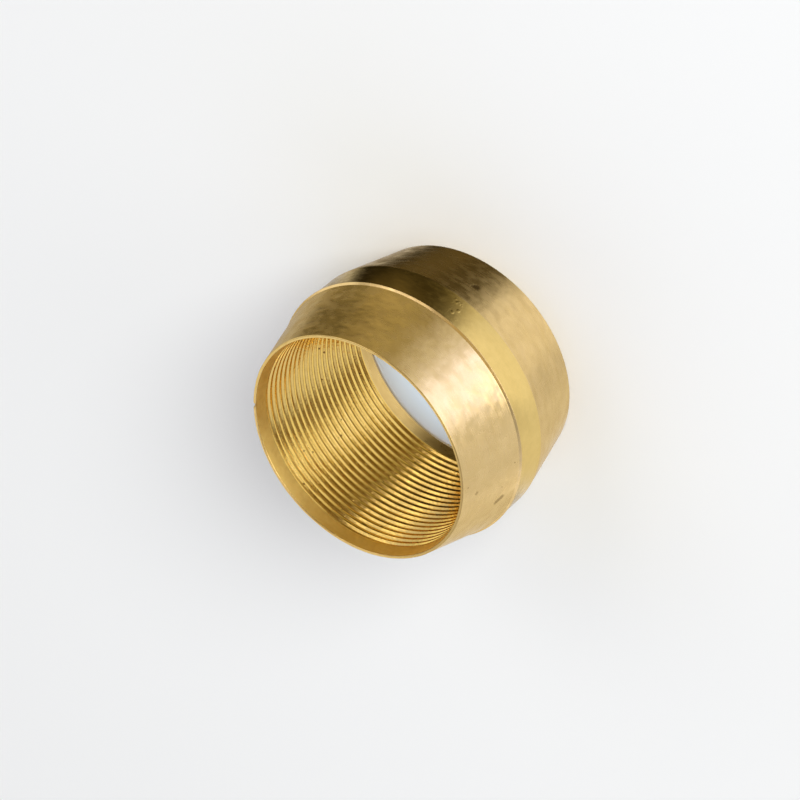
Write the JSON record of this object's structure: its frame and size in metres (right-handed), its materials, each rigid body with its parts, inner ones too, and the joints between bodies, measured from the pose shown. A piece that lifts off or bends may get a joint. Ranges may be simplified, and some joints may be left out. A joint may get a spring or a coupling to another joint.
{
  "type": "compression olive",
  "caption": "Turned brass compression ring with two tapered ends, a plain band and fine grip grooves in its bore, which seals a pipe in a compression fitting.",
  "frame": {"origin": "centre of the far end, on the surface that the olive stands on", "axes": "+Z along the bore axis, from the far end up to the mouth; X and Y are alike, because the olive is round"},
  "size_m": [0.0184, 0.0184, 0.012],
  "materials": {
    "brass": "turned satin brass with faint circumferential tool marks and light tarnish"
  },
  "bodies": {
    "root": {"compression_olive": "brass"}
  },
  "joints": []
}
